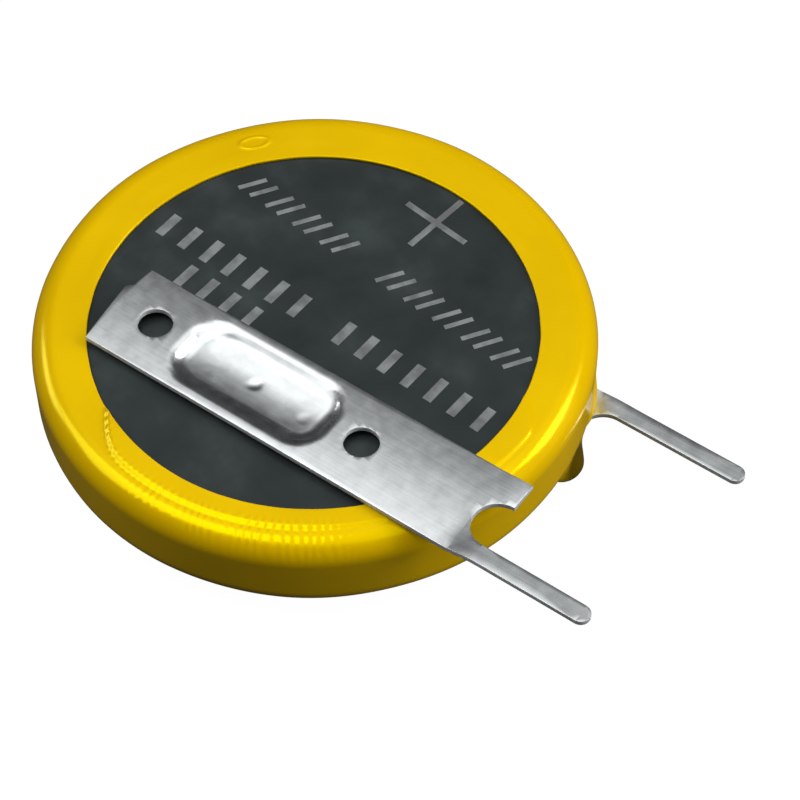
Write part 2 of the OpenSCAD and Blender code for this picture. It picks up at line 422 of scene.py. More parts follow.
def bump(tree, height, strength, distance):
    node = add_node(tree, "ShaderNodeBump")
    for label, value in (("Height", height), ("Strength", strength), ("Distance", distance)):
        feed(tree, node.inputs[label], value)
    return node.outputs["Normal"]


def shade(colour, factor):
    return tuple(max(0.0, min(1.0, c * factor)) for c in colour)


def steel_material(name, colour, roughness, patch=700.0, depth=0.35, tones=(0.9, 1.08)):
    """Rolled sheet steel: fine lines along X and cloudy patches in colour and gloss."""
    material, tree, shader = new_material(name)
    grain = add_node(tree, "ShaderNodeGroup", node_tree=rolled_grain_group())
    feed(tree, grain.inputs["Vector"], object_place(tree))
    feed(tree, grain.inputs["Patch Size"], patch)
    patches = grain.outputs["Patches"]
    stops = [(0.3, shade(colour, tones[0])), (0.52, colour), (0.72, shade(colour, tones[1]))]
    feed(tree, shader.inputs["Base Color"], ramp_colours(tree, patches, stops))
    gloss = map_range(tree, patches, roughness - 0.05, roughness + 0.07)
    feed(tree, shader.inputs["Roughness"], gloss)
    feed(tree, shader.inputs["Normal"], bump(tree, grain.outputs["Lines"], depth, 0.004 * MM))
    shader.inputs["Metallic"].default_value = 1.0
    return material


def face_material():
    """The can's satin dark face, with hazy smudges and faint rolling lines."""
    colour = settings().metal.can_colour
    material = steel_material("Can steel", colour, 0.4, patch=380.0, depth=0.15, tones=(0.75, 1.6))
    shader = material.node_tree.nodes["Principled BSDF"]
    shader.inputs["Metallic"].default_value = 0.55
    shader.inputs["Specular IOR Level"].default_value = 0.2
    return material


def plain_material(name, colour, roughness, metallic=0.0, grain_size=1200.0):
    """A dull material with a fine speckle, for felt, powder, seal, soft metal and sheared edges."""
    material, tree, shader = new_material(name)
    speckle = noise_texture(tree, object_place(tree), grain_size, 4.0)
    tone = ramp_colours(tree, speckle, [(0.3, shade(colour, 0.85)), (0.7, shade(colour, 1.1))])
    feed(tree, shader.inputs["Base Color"], tone)
    gloss = map_range(tree, speckle, roughness - 0.08, roughness + 0.08)
    feed(tree, shader.inputs["Roughness"], gloss)
    feed(tree, shader.inputs["Normal"], bump(tree, speckle, 0.2, 0.01 * MM))
    shader.inputs["Metallic"].default_value = metallic
    return material


def dress_node(name, material):
    """Gives a CAD node its material."""
    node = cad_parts[name]
    node.data.materials.clear()
    node.data.materials.append(material)


# Film sleeve

# Middle, turn and half axes of a flat blister's oval, and its ridge: place and half width as shares
# of the oval, and rise
BLISTER_AT = (-6.84 * MM, 5.47 * MM)
BLISTER_TURN = math.radians(48)
BLISTER_HALF = (0.62 * MM, 0.32 * MM)
RIDGE_AT = 0.85
RIDGE_HALF = 0.25
RIDGE_RISE = 0.02 * MM

# Half height of the fine pleats, their number round the sleeve, and the radii and heights over
# which they come in
PLEAT_DEPTH = 0.005 * MM
PLEAT_COUNT = 190.0
PLEAT_BAND = (8.7 * MM, 9.1 * MM)
PLEAT_ABOVE = (2.5 * MM, 3.0 * MM)

# The low step inside the near shoulder. Bearings are in degrees from the pins' direction, and -90 is
# the near side: the step runs out between the bearings of each end, and is at its widest between the
# near ones.
STEP_R = 9.12 * MM
STEP_IN = 1.3 * MM
STEP_HALF = 0.09 * MM
STEP_NEAR_HALF = 0.055 * MM
STEP_SLOPE = 0.45
STEP_EXTRA_SLOPE = 0.25
STEP_EXTRA_TO = (-112, -82)
STEP_ENDS = ((-124, -99), (0, 16))
STEP_NEAR = ((-126, -114), (-56, -40))
STEP_PLEATS = ((-124, -115), (-98, -88))
STEP_PLEAT_HALF = 0.17 * MM
STEP_FADE = (7.95 * MM, 8.3 * MM)

# Slow unevenness of the whole film, and of its window's edge
UNEVEN = 0.03 * MM
EDGE_UNEVEN = 0.02 * MM
EDGE_RUN = 0.6 * MM

# Where the bridge's foot stops leaning in, across the strip
LEAN_FADE = (3.2 * MM, 4.3 * MM)
# The lobe that the film makes over the negative ear's end, and the lip round the pin. They start
# between the radii of the rim, and the lobe runs out between two heights.
RIM = (9.0 * MM, 9.6 * MM)
LOBE_OUT = 0.58 * MM
LOBE_Y = 2.25 * MM
LOBE_HALF = 1.2 * MM
LOBE_TOP = (-0.3 * MM, 0.75 * MM)
LIP_OUT = 0.15 * MM
LIP_REACH = 0.75 * MM
LIP_RISE = 0.2 * MM
# Painted shade on the film where it lies over the hollow beyond the ear's end: full within the first
# distance from the lobe's middle, gone past the second
LOBE_PAINTED_SHADE = (0.55 * MM, 1.15 * MM)
# Where the film is dull beside the pin, how far, and how much rougher it is there
DULL_AT = (8.8 * MM, 5.3 * MM, 0.8 * MM)
DULL_FADE = (1.2 * MM, 2.2 * MM)
DULL_ROUGHER = 0.4

# Longest edges of the film's section, on the faces' level and elsewhere
FACE_EDGE = 0.05 * MM
WALL_EDGE = 0.14 * MM


def pleat_group():
    """Fine pleats round the axis as a height from -1 to 1, and a mask of the near shoulder."""
    group, source, result = shared_group(
        "Shrink pleats",
        [("Vector", "NodeSocketVector", None)],
        [("Height", "NodeSocketFloat"), ("Mask", "NodeSocketFloat")],
    )
    place = source.outputs["Vector"]
    parts = add_node(group, "ShaderNodeSeparateXYZ")
    feed(group, parts.inputs[0], place)
    x, y, z = parts.outputs
    angle = math_node(group, "ARCTAN2", y, x)
    turns = math_node(group, "MULTIPLY", angle, PLEAT_COUNT)
    stray = math_node(group, "MULTIPLY", noise_texture(group, place, 650.0, 1.0), 16.0)
    height = math_node(group, "SINE", math_node(group, "ADD", turns, stray))
    facing = math_node(group, "COSINE", math_node(group, "ADD", angle, 1.2))
    near = smooth_range(group, facing, 0.87, 0.97)
    squares = [math_node(group, "POWER", part, 2.0) for part in (x, y)]
    radius = math_node(group, "SQRT", math_node(group, "ADD", *squares))
    band = smooth_range(group, radius, *PLEAT_BAND)
    above = smooth_range(group, z, *PLEAT_ABOVE)
    mask = math_node(group, "MULTIPLY", math_node(group, "MULTIPLY", near, band), above)
    feed(group, result.inputs["Height"], height)
    feed(group, result.inputs["Mask"], mask)
    return group


def blister_ridge(tree, place):
    """The blister's oval ridge once more, in pleat depths, which sharpens the mesh's own."""
    oval = add_node(tree, "ShaderNodeMapping", vector_type="TEXTURE")
    feed(tree, oval.inputs["Vector"], place)
    feed(tree, oval.inputs["Location"], (*BLISTER_AT, FACE_Z + settings().film.thickness))
    feed(tree, oval.inputs["Rotation"], (0.0, 0.0, BLISTER_TURN))
    feed(tree, oval.inputs["Scale"], (*BLISTER_HALF, 1.0 * MM))
    away = add_node(tree, "ShaderNodeVectorMath", operation="LENGTH")
    feed(tree, away.inputs[0], oval.outputs["Vector"])
    off = math_node(tree, "ABSOLUTE", math_node(tree, "SUBTRACT", away.outputs["Value"], RIDGE_AT))
    return smooth_range(tree, off, 0.0, RIDGE_HALF, RIDGE_RISE / PLEAT_DEPTH, 0.0)


def film_material():
    """Glossy dyed film, cloudy, pleated on its near shoulder, and with painted shade where the lobe
    lies over the hollow.
    """
    material, tree, shader = new_material("Yellow film")
    colour = settings().film.colour
    place = object_place(tree)
    cloud = noise_texture(tree, place, 260.0, 3.0)
    tone = ramp_colours(tree, cloud, [(0.3, shade(colour, 0.95)), (0.7, shade(colour, 1.04))])
    # Painted shade: the film's colour darkens to a brown near the lobe's middle, where it lies over
    # the hollow past the negative ear's end.
    from_lobe = distance_from(tree, place, (CAN_R, LOBE_Y, 0.0))
    painted_shade_mix = add_node(tree, "ShaderNodeMix", data_type="RGBA")
    feed(tree, painted_shade_mix.inputs["Factor"], smooth_range(tree, from_lobe, *LOBE_PAINTED_SHADE))
    feed(tree, painted_shade_mix.inputs["A"], (*shade(colour, 0.13), 1))
    feed(tree, painted_shade_mix.inputs["B"], tone)
    feed(tree, shader.inputs["Base Color"], painted_shade_mix.outputs["Result"])

    gloss = map_range(tree, cloud, 0.12, 0.26)
    dull = smooth_range(tree, distance_from(tree, place, DULL_AT), *DULL_FADE, DULL_ROUGHER, 0.0)
    feed(tree, shader.inputs["Roughness"], math_node(tree, "ADD", gloss, dull))

    pleats = add_node(tree, "ShaderNodeGroup", node_tree=pleat_group())
    feed(tree, pleats.inputs["Vector"], place)
    on_step = add_node(tree, "ShaderNodeAttribute", attribute_name="step_pleats")
    weak = math_node(tree, "MULTIPLY", on_step.outputs["Fac"], 0.9)
    amount = math_node(tree, "ADD", pleats.outputs["Mask"], weak)
    height = math_node(tree, "MULTIPLY", pleats.outputs["Height"], amount)
    height = math_node(tree, "ADD", height, blister_ridge(tree, place))
    feed(tree, shader.inputs["Normal"], bump(tree, height, 1.0, PLEAT_DEPTH))

    shader.inputs["Specular Tint"].default_value = (1.0, 0.9, 0.0, 1)
    shader.inputs["Specular IOR Level"].default_value = 0.8
    shader.inputs["IOR"].default_value = 1.75
    return material


def sleeve_profile(bm, film):
    """Outer edge of the film's section in the XZ plane, from the window to the negative side."""
    outer = CAN_R + film.thickness
    top = FACE_Z + film.thickness
    bottom = LIP_Z - film.thickness
    corners = [
        (CAN_R - film.band_top, top),
        (outer, top),
        (outer, bottom),
        (CAN_R - film.band_bottom, bottom),
    ]
    wire = [bm.verts.new((x, 0, z)) for x, z in corners]
    for a, b in zip(wire, wire[1:]):
        bm.edges.new((a, b))
    for corner, radius in ((wire[1], film.face_r), (wire[2], film.crimp_r)):
        bmesh.ops.bevel(
            bm, geom=[corner], offset=radius + film.thickness, offset_type="OFFSET", segments=14,
            profile=0.5, affect="VERTICES", material=-1,
        )
    for _ in range(6):
        long_edges = []
        for edge in bm.edges:
            on_face = min(v.co.z for v in edge.verts) > top - 0.01 * MM
            if edge.calc_length() > (FACE_EDGE if on_face else WALL_EDGE):
                long_edges.append(edge)
        if long_edges:
            bmesh.ops.subdivide_edges(bm, edges=long_edges, cuts=1)


def bridge_profile(fraction, lean, film):
    """Radius and height of the film where it bridges the tab, from the wall down and inwards."""
    g = film.thickness
    outer = CAN_R + g
    wall_z = LIP_Z + film.crimp_r
    low = TAB_Z - g
    edge = film.tent_r + g
    inner = CAN_R - film.band_bottom
    straight = wall_z - low - edge
    round_l = edge * math.pi / 2
    flat = outer - edge - inner
    run = fraction * (straight + round_l + flat)
    foot = outer - lean
    if run < straight:
        return outer - lean * smooth_step(0, straight, run), wall_z - run
    run -= straight
    if run < round_l:
        turn = run / edge
        return foot - edge + edge * math.cos(turn), low + edge - edge * math.sin(turn)
    rest = (run - round_l) / flat
    return (foot - edge) * (1 - rest) + inner * rest, low


def crimp_fraction(radius, height, film):
    """Where a point of the plain profile lies between the wall's foot (0) and the window (1)."""
    g = film.thickness
    edge = film.crimp_r + g
    wall_z = LIP_Z + film.crimp_r
    outer = CAN_R + g
    arc = edge * math.pi / 2
    total = arc + outer - edge - (CAN_R - film.band_bottom)
    if height >= wall_z:
        return 0.0
    if radius > outer - edge:
        return edge * math.atan2(wall_z - height, radius - outer + edge) / total
    return (arc + outer - edge - radius) / total


def shape_film(vert, film):
    """Moves one vertex of the plain sleeve to where the real film lies."""
    x, y, z = vert.co
    radius = math.hypot(x, y)
    angle = math.atan2(y, x)
    g = film.thickness
    outer = CAN_R + g
    top = FACE_Z + g
    wall_z = LIP_Z + film.crimp_r

    # The window on the positive face sits off centre
    flat_r = outer - film.face_r - g
    window_r = CAN_R - film.band_top
    if z > top - LEVEL and radius < flat_r:
        along = film.shift[0] * math.cos(angle) + film.shift[1] * math.sin(angle)
        across = film.shift[0] * math.sin(angle) - film.shift[1] * math.cos(angle)
        edge_r = along + math.sqrt(window_r ** 2 - across ** 2)
        radius = edge_r + (radius - window_r) * (flat_r - edge_r) / (flat_r - window_r)

    # Bridge over the negative tab, on the side where its pin leaves
    strip_low, strip_high = TAB_EDGE_Y - STRIP_W, TAB_EDGE_Y
    weight = plateau(y, strip_low - g, strip_high + g, film.tent_run) if x > 0 else 0.0
    if weight > 0 and z < wall_z:
        lean = film.lean * (1 - smooth_step(*LEAN_FADE, y))
        bridge_r, bridge_z = bridge_profile(crimp_fraction(radius, z, film), lean, film)
        radius += weight * (bridge_r - radius)
        z += weight * (bridge_z - z)

    # Lobe over the ear's end, and a puckered lip where the pin comes through
    y = radius * math.sin(angle)
    x = radius * math.cos(angle)
    if x > 0 and z < wall_z:
        near_rim = smooth_step(*RIM, radius)
        ear = max(0.0, 1 - ((y - LOBE_Y) / LOBE_HALF) ** 2) ** 1.5
        height = 1 - smooth_step(*LOBE_TOP, z)
        x += LOBE_OUT * ear * height * near_rim
        aside = (y - strip_high + PIN_W / 2) / LIP_REACH
        above = (z - PIN_Z - LIP_RISE) / LIP_REACH
        x += LIP_OUT * math.exp(-(aside ** 2 + above ** 2)) * near_rim
    vert.co = (x, y, z)


def between(angle, bearings):
    """1 between two pairs of bearings, falling smoothly to 0 across each pair."""
    return smooth_step(*bearings[0], angle) * (1 - smooth_step(*bearings[1], angle))


def step_form(angle, radius):
    """Rise of the low step at a bearing and a radius, and how strongly it is pleated there."""
    ends = (1 - smooth_step(*STEP_ENDS[0], angle)) + smooth_step(*STEP_ENDS[1], angle)
    step_r = STEP_R - STEP_IN * min(1.0, ends)
    near = between(angle, STEP_NEAR)
    half = STEP_HALF + STEP_NEAR_HALF * near
    slope = STEP_SLOPE + STEP_EXTRA_SLOPE * (1 - smooth_step(*STEP_EXTRA_TO, angle)) * near
    full_rise = slope * half * 4 / math.pi
    raised = 1 - smooth_step(step_r - half, step_r + half, radius)
    pleated = between(angle, STEP_PLEATS) * math.exp(-((radius - step_r) / STEP_PLEAT_HALF) ** 2)
    return full_rise * raised * smooth_step(*STEP_FADE, step_r), pleated


def blister_rise(x, y):
    """Rise of the flat blister's oval ridge."""
    offset = Matrix.Rotation(-BLISTER_TURN, 2) @ (Vector((x, y)) - Vector(BLISTER_AT))
    away = math.hypot(offset.x / BLISTER_HALF[0], offset.y / BLISTER_HALF[1])
    return RIDGE_RISE * (1 - smooth_step(0, RIDGE_HALF, abs(away - RIDGE_AT)))


def relax_film(bm, film):
    """Slow unevenness, a low step inside the near shoulder and a flat blister's oval ridge."""
    bm.normal_update()
    window_r = CAN_R - film.band_top
    pleats = bm.verts.layers.float.new("step_pleats")
    moves = []
    for vert in bm.verts:
        x, y, _ = vert.co
        radius = math.hypot(x, y)
        angle = math.degrees(math.atan2(y, x))
        move = vert.normal * noise.noise(vert.co * (0.25 / MM)) * UNEVEN
        if vert.normal.z > 0.7:
            at_window = 1 - smooth_step(window_r, window_r + EDGE_RUN, radius)
            move = move * (1 - at_window)
            rise, vert[pleats] = step_form(angle, radius)
            move.z += rise + blister_rise(x, y)
            uneven = noise.noise(Vector((math.radians(angle) * 9, 3.0, 0))) * EDGE_UNEVEN
            move += Vector((x, y, 0)).normalized() * uneven * at_window
        moves.append((vert, move))
    for vert, move in moves:
        vert.co += move
        vert.co.z = max(vert.co.z, FILM_Z)


class CELL_OT_film(bpy.types.Operator):
    """Make the shrunk film sleeve with its bridge, lobe and ripples."""

    bl_idname = "coin_cell.film"
    bl_label = "Film sleeve"

    def execute(self, context):
        film = settings().film
        bm = bmesh.new()
        sleeve_profile(bm, film)
        bmesh.ops.spin(
            bm, geom=bm.verts[:] + bm.edges[:], cent=(0, 0, 0), axis=(0, 0, 1), angle=math.tau,
            steps=film.steps, use_merge=True,
        )
        bmesh.ops.remove_doubles(bm, verts=bm.verts[:], dist=MERGE)
        for vert in bm.verts:
            shape_film(vert, film)
        bmesh.ops.recalc_face_normals(bm, faces=bm.faces[:])
        if sum(f.normal.xy.dot(f.calc_center_median().xy) for f in bm.faces) < 0:
            bmesh.ops.reverse_faces(bm, faces=bm.faces[:])
        relax_film(bm, film)
        for face in bm.faces:
            face.smooth = True
        sleeve = new_piece("film", bm, film_material())
        wall = sleeve.modifiers.new("Wall", "SOLIDIFY")
        wall.thickness = film.thickness * 0.98
        wall.offset = -1.0
        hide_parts("film_sleeve")
        return {"FINISHED"}


# Printed face

# Middle of the plus and its turn, in the row frame
PLUS_AT = (0.91 * MM, 6.24 * MM)
PLUS_TURN = math.radians(-6.7)
# Each row of marks: start, end, marks in each group, the lean of each mark's strokes in degrees,
# and their width
PRINT_ROWS = (
    ((-6.1 * MM, 3.9 * MM), (7.35 * MM, 2.54 * MM), (4, 5), (62, 62), 0.19 * MM),
    ((-7.5 * MM, 0.5 * MM), (7.9 * MM, -0.2 * MM), (7, 7), (90,), 0.36 * MM),
    ((-5.5 * MM, -1.05 * MM), (-1.4 * MM, -1.3 * MM), (4,), (90,), 0.36 * MM),
)
# Distance between a mark's two strokes, as a share of the marks' pitch
STROKE_PITCH = 0.42


def add_stroke(bm, middle, length, width, turn, ink):
    """A printed stroke with square ends: a thin plate on the face."""
    place = (
        Matrix.Translation((middle[0], middle[1], FACE_Z + ink.lift / 2))
        @ Matrix.Rotation(turn, 4, "Z")
        @ Matrix.Diagonal((length, width, ink.lift, 1))
    )
    bmesh.ops.create_cube(bm, size=1.0, matrix=place)


def print_material():
    """Pale ink, worn unevenly."""
    material, tree, shader = new_material("Face print")
    colour = settings().print.colour
    wear = noise_texture(tree, object_place(tree), 1500.0, 5.0)
    tone = ramp_colours(tree, wear, [(0.35, shade(colour, 0.6)), (0.6, shade(colour, 1.1))])
    feed(tree, shader.inputs["Base Color"], tone)
    feed(tree, shader.inputs["Roughness"], map_range(tree, wear, 0.45, 0.7))
    return material


def add_plus(bm, ink):
    """The polarity plus: one long stroke, and a short one on each side of it."""
    add_stroke(bm, PLUS_AT, ink.plus_size, ink.stroke, PLUS_TURN, ink)
    side = (ink.plus_size - ink.stroke) / 2
    reach = (ink.plus_size + ink.stroke) / 4
    for sign in (-1, 1):
        at = (
            PLUS_AT[0] - sign * reach * math.sin(PLUS_TURN),
            PLUS_AT[1] + sign * reach * math.cos(PLUS_TURN),
        )
        add_stroke(bm, at, side, ink.stroke, PLUS_TURN + math.pi / 2, ink)


def add_row(bm, start, end, groups, leans, width, ink):
    """A row of plain marks in groups, spread evenly from start to end."""
    along = end - start
    turn = math.atan2(along.y, along.x)
    slots = sum(groups) + len(groups) - 1
    pitch = along.length / slots
    place = 0
    for count in groups:
        for _ in range(count):
            for number, lean in enumerate(leans):
                shift = (number - (len(leans) - 1) / 2) * STROKE_PITCH * pitch
                at = start.lerp(end, (place + 0.5) / slots) + along.normalized() * shift
                add_stroke(bm, at, ink.row_height, width, turn + math.radians(lean), ink)
            place += 1
        place += 1


class CELL_OT_print(bpy.types.Operator):
    """Print the polarity plus and the rows of plain strokes on the positive face."""

    bl_idname = "coin_cell.print"
    bl_label = "Face print"

    def execute(self, context):
        ink = settings().print
        bm = bmesh.new()
        add_plus(bm, ink)
        for start, end, groups, leans, width in PRINT_ROWS:
            add_row(bm, Vector(start), Vector(end), groups, leans, width, ink)
        new_piece("face_print", bm, print_material())
        return {"FINISHED"}


# Tabs and cell metal

# The scene's finer weld pits: along the strip and inwards from the pocket's middle, and depth
FINE_PITS = ((-0.1 * MM, 0.05 * MM, 0.035 * MM), (2.15 * MM, -0.25 * MM, 0.012 * MM))
# From the pocket's rim to the middle of its wall
WALL_IN = 0.3 * MM
# The floor's dish: where its lowest line lies outside the middle, its run up, and its ends' rise
DISH_OFF = 0.15 * MM
DISH_RUN = 0.6 * MM
END_RISE = 0.05 * MM
# Where the strip's crown fades out, and the sheet's slow wave
CROWN_FADE = (9.2 * MM, 10.4 * MM)
WAVE = 0.005 * MM
# How far the pin's sloping root is rounded into the flats on both sides, and where that fades out
# across the strip
ROOT_EASE = 0.35 * MM
ROOT_FADE = (-0.9 * MM, -0.1 * MM)
# The pin's twist, its run up from the root, and where it fades out across the strip
PIN_TWIST = math.radians(3)
TWIST_RUN = 1.4 * MM
TWIST_FADE = (-1.1 * MM, -0.7 * MM)
# The negative ear is drawn in under the film past this line, by this share, but not beside the pin
EAR_X = 9.0 * MM
EAR_SHARE = 0.65
EAR_FADE = (3.6 * MM, 4.5 * MM)
# Spacing of the cuts that let the strip follow its crown
GRID = 0.3 * MM
# Distances from a weld pit inside which the floor is cut finer, once for each
FINER_WITHIN = (1.1 * MM, 0.8 * MM, 0.6 * MM)


def cut_grid(bm, axis, low, high):
    """Cuts the mesh at regular planes across an axis, so that wide faces can follow a curve."""
    count = max(2, round((high - low) / GRID))
    for i in range(1, count):
        bmesh.ops.bisect_plane(
            bm, geom=bm.verts[:] + bm.edges[:] + bm.faces[:], dist=0.0002 * MM,
            plane_co=axis * (low + (high - low) * i / count), plane_no=axis,
        )


def strip_form(x, y, side, inward, pocket_x):
    """Height that the press leaves in the flat sheet: the strip's crown and the pocket's dish."""
    metal = settings().metal
    in_x = abs(x - pocket_x) / (POCKET_L / 2 - WALL_IN)
    in_y = abs(inward) / (POCKET_W / 2 - WALL_IN)
    out = smooth_step(0.78, 1.08, (in_x ** 5 + in_y ** 5) ** 0.2)
    crown = -metal.crown * (inward / (STRIP_W / 2)) ** 2 * (1 - smooth_step(*CROWN_FADE, x))
    wave = noise.noise(Vector((x, y, 0.002 * side)) * (0.5 / MM)) * WAVE
    off = (inward + DISH_OFF) / DISH_RUN
    if off < 0:
        dish = metal.dish * off * off * 0.6
    else:
        dish = metal.dish * (off * off if off < 1 else 2 * off - 1)
    end = END_RISE * (abs(x - pocket_x) / (POCKET_L / 2)) ** 4
    return ((crown + wave) * out + (dish + end) * (1 - out)) * side


def pin_form(x, side, inward):
    """Height that rounds off the pin's sloping root and twists the pin a little."""
    root_x = PIN_ROOT - (0 if side > 0 else NEGATIVE_BACK)
    sloping = max(0.0, min(1.0, (x - root_x) / PIN_SET_L))
    eased = smooth_step(root_x - ROOT_EASE, root_x + PIN_SET_L + ROOT_EASE, x)
    root = PIN_SET * (eased - sloping) * (1 - smooth_step(*ROOT_FADE, inward))
    twist = PIN_TWIST if side > 0 else -PIN_TWIST / 2
    on_pin = smooth_step(root_x, root_x + TWIST_RUN, x) * (1 - smooth_step(*TWIST_FADE, inward))
    return root - twist * (inward + (STRIP_W - PIN_W) / 2) * on_pin


def move_pits(bm, side, middle_y, pocket_x):
    """Levels the source's weld pits and opens finer ones in their place."""
    floor_z = (FACE_Z + SHEET) if side > 0 else -SHEET
    old = [Vector((pocket_x + shift, middle_y)) for shift in (-PIT_PITCH / 2, PIT_PITCH / 2)]
    new = [Vector((pocket_x + shift, middle_y + inward * side)) for shift, inward, _ in FINE_PITS]
    for vert in bm.verts:
        near_floor = abs(vert.co.z - floor_z) < PIT_DEPTH * 1.1
        if near_floor and any((vert.co.xy - at).length < PIT_R * 1.1 for at in old):
            vert.co.z = floor_z
    for reach in FINER_WITHIN:
        edges = [
            e for e in bm.edges
            if any((v.co.xy - at).length < reach for at in new for v in e.verts)
            and all(abs(v.co.z - floor_z) < LEVEL for v in e.verts)
        ]
        bmesh.ops.subdivide_edges(bm, edges=edges, cuts=1, use_grid_fill=True)
        bmesh.ops.triangulate(bm, faces=[f for f in bm.faces if len(f.verts) > 4])
    for vert in bm.verts:
        if abs(vert.co.z - floor_z) > LEVEL:
            continue
        for number, at in enumerate(new):
            spot = Vector((vert.co.x, vert.co.y, number * MM)) * (2.2 / MM)
            away = (vert.co.xy - at).length / PIT_R * (1 + 0.5 * noise.noise(spot))
            vert.co.z -= side * FINE_PITS[number][2] * math.exp(-(away / 0.75) ** 2)


def rounded_sheet(node_name, edge):
    """A mesh of a tab with its cut edges rounded, and cut finely enough to follow the press."""
    low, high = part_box(node_name)
    bm = bmesh.new()
    bm.from_mesh(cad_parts[node_name].data)
    bmesh.ops.remove_doubles(bm, verts=bm.verts[:], dist=MERGE)
    bmesh.ops.dissolve_limit(
        bm, angle_limit=math.radians(0.4), verts=bm.verts[:], edges=bm.edges[:]
    )
    sharp = [e for e in bm.edges if e.is_manifold and e.calc_face_angle() > math.radians(50)]
    bmesh.ops.bevel(
        bm, geom=sharp, offset=edge, offset_type="OFFSET", segments=4, profile=0.5, affect="EDGES",
        material=-1, clamp_overlap=True,
    )
    bmesh.ops.triangulate(bm, faces=[f for f in bm.faces if len(f.verts) > 4])
    cut_grid(bm, Vector((1, 0, 0)), low[0], high[0])
    cut_grid(bm, Vector((0, 1, 0)), low[1], high[1])
    return bm


def finished_copy(node_name, name, sheet, cut_edge, side):
    """A copy of a tab as the press leaves it. The sheared edges get a material of their own."""
    middle_y = side * -(STRIP_IN + STRIP_W / 2)
    pocket_x = POCKET_X if side > 0 else POCKET_X - NEGATIVE_BACK
    bm = rounded_sheet(node_name, settings().metal.edge)
    move_pits(bm, side, middle_y, pocket_x)
    for vert in bm.verts:
        x, y, z = vert.co
        inward = (y - middle_y) * side
        z += strip_form(x, y, side, inward, pocket_x) + pin_form(x, side, inward)
        if side < 0 and x > EAR_X:
            x -= (x - EAR_X) * EAR_SHARE * (1 - smooth_step(*EAR_FADE, y))
        vert.co = (x, y, z)
    bmesh.ops.recalc_face_normals(bm, faces=bm.faces[:])
    half_l, half_w = POCKET_L / 2, POCKET_W / 2 + 0.1 * MM
    for face in bm.faces:
        face.smooth = True
        at = face.calc_center_median()
        beside = abs(at.x - pocket_x) > half_l or abs(at.y - middle_y) > half_w
        if abs(face.normal.z) < 0.5 and beside:
            face.material_index = 1
    piece = new_piece(name, bm, sheet)
    piece.data.materials.append(cut_edge)
    piece.data.set_sharp_from_angle(angle=math.radians(26))
    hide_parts(node_name)


class CELL_OT_tabs(bpy.types.Operator):
    """Finish both solder tabs as rolled sheet with rounded cut edges."""

    bl_idname = "coin_cell.tabs"
    bl_label = "Solder tabs"

    def execute(self, context):
        metal = settings().metal
        sheet = steel_material("Tab steel", metal.tab_colour, 0.24, patch=1900.0)
        cut_edge = plain_material(
            "Sheared edge", metal.edge_colour, 0.5, metallic=0.2, grain_size=6000.0
        )
        finished_copy("positive_tab", "positive_tab_sheet", sheet, cut_edge, 1)
        finished_copy("negative_tab", "negative_tab_sheet", sheet, cut_edge, -1)
        return {"FINISHED"}


class CELL_OT_cell(bpy.types.Operator):
    """Finish the can, cap, seal and the pieces inside them."""

    bl_idname = "coin_cell.cell"
    bl_label = "Cell"

    def execute(self, context):
        cap_colour = settings().metal.cap_colour
        lithium = plain_material("Lithium metal", (0.33, 0.35, 0.4), 0.55, metallic=1.0)
        felt = plain_material("Separator felt", (0.8, 0.8, 0.77), 0.9, grain_size=3000.0)
        dress_node("positive_can", face_material())
        dress_node("negative_cap", steel_material("Cap steel", cap_colour, 0.26))
        dress_node("collector_ring", steel_material("Collector steel", cap_colour, 0.4))
        dress_node("gasket", plain_material("Seal plastic", (0.62, 0.62, 0.57), 0.45))
        dress_node("lithium_disc", lithium)
        dress_node("separator", felt)
        dress_node("cathode_pellet", plain_material("Pellet powder", (0.012, 0.012, 0.013), 0.85))
        return {"FINISHED"}


# Studio

# Brightness of the ceiling by height, from level (0.5) to straight up (1)
SKY_GREYS = (
    (0.5, 0.01), (0.8, 0.03), (0.841, 0.05), (0.889, 0.2), (0.924, 0.62), (0.94, 1.0), (1.0, 1.0)
)
# Lengths and widths of the lights
STRIP_LIGHT_W = 0.12
FAR_LAMP = (0.09, 0.09)
SIDE_LAMP = (0.2, 0.15)
LOW_LAMP = (0.09, 0.07)


def area_light(name, at, energy, size):
    """An area light aimed at the cell."""
    lamp = bpy.data.lights.new(name, "AREA")
    lamp.energy = energy
    lamp.shape = "RECTANGLE"
    lamp.size, lamp.size_y = size
    holder = bpy.data.objects.new(name, lamp)
    holder.location = at
    holder.rotation_euler = (-Vector(at)).to_track_quat("-Z", "Y").to_euler()
    bpy.context.scene.collection.objects.link(holder)
    return holder


def studio_world():
    """A dark room under a wide soft ceiling, and white where the camera looks past the floor."""
    world = bpy.data.worlds.new("Studio")
    bpy.context.scene.world = world
    world.use_nodes = True
    tree = world.node_tree
    background = tree.nodes["Background"]
    parts = add_node(tree, "ShaderNodeSeparateXYZ")
    feed(tree, parts.inputs[0], add_node(tree, "ShaderNodeTexCoord").outputs["Generated"])
    spread = add_node(tree, "ShaderNodeMapRange")
    feed(tree, spread.inputs["From Min"], -1.0)
    feed(tree, spread.inputs["Value"], parts.outputs["Z"])
    greys = [(at, (grey,) * 3) for at, grey in SKY_GREYS]
    tone = ramp_colours(tree, spread.outputs["Result"], greys)
    seen = add_node(tree, "ShaderNodeLightPath").outputs["Is Camera Ray"]
    mix = add_node(tree, "ShaderNodeMix", data_type="RGBA")
    for label, value in (("Factor", seen), ("A", tone), ("B", (1, 1, 1, 1))):
        feed(tree, mix.inputs[label], value)
    feed(tree, background.inputs["Color"], mix.outputs["Result"])
    strength = add_node(tree, "ShaderNodeMix", data_type="FLOAT")
    for label, value in (("Factor", seen), ("A", settings().studio.sky), ("B", 1.0)):
        feed(tree, strength.inputs[label], value)
    feed(tree, background.inputs["Strength"], strength.outputs["Result"])


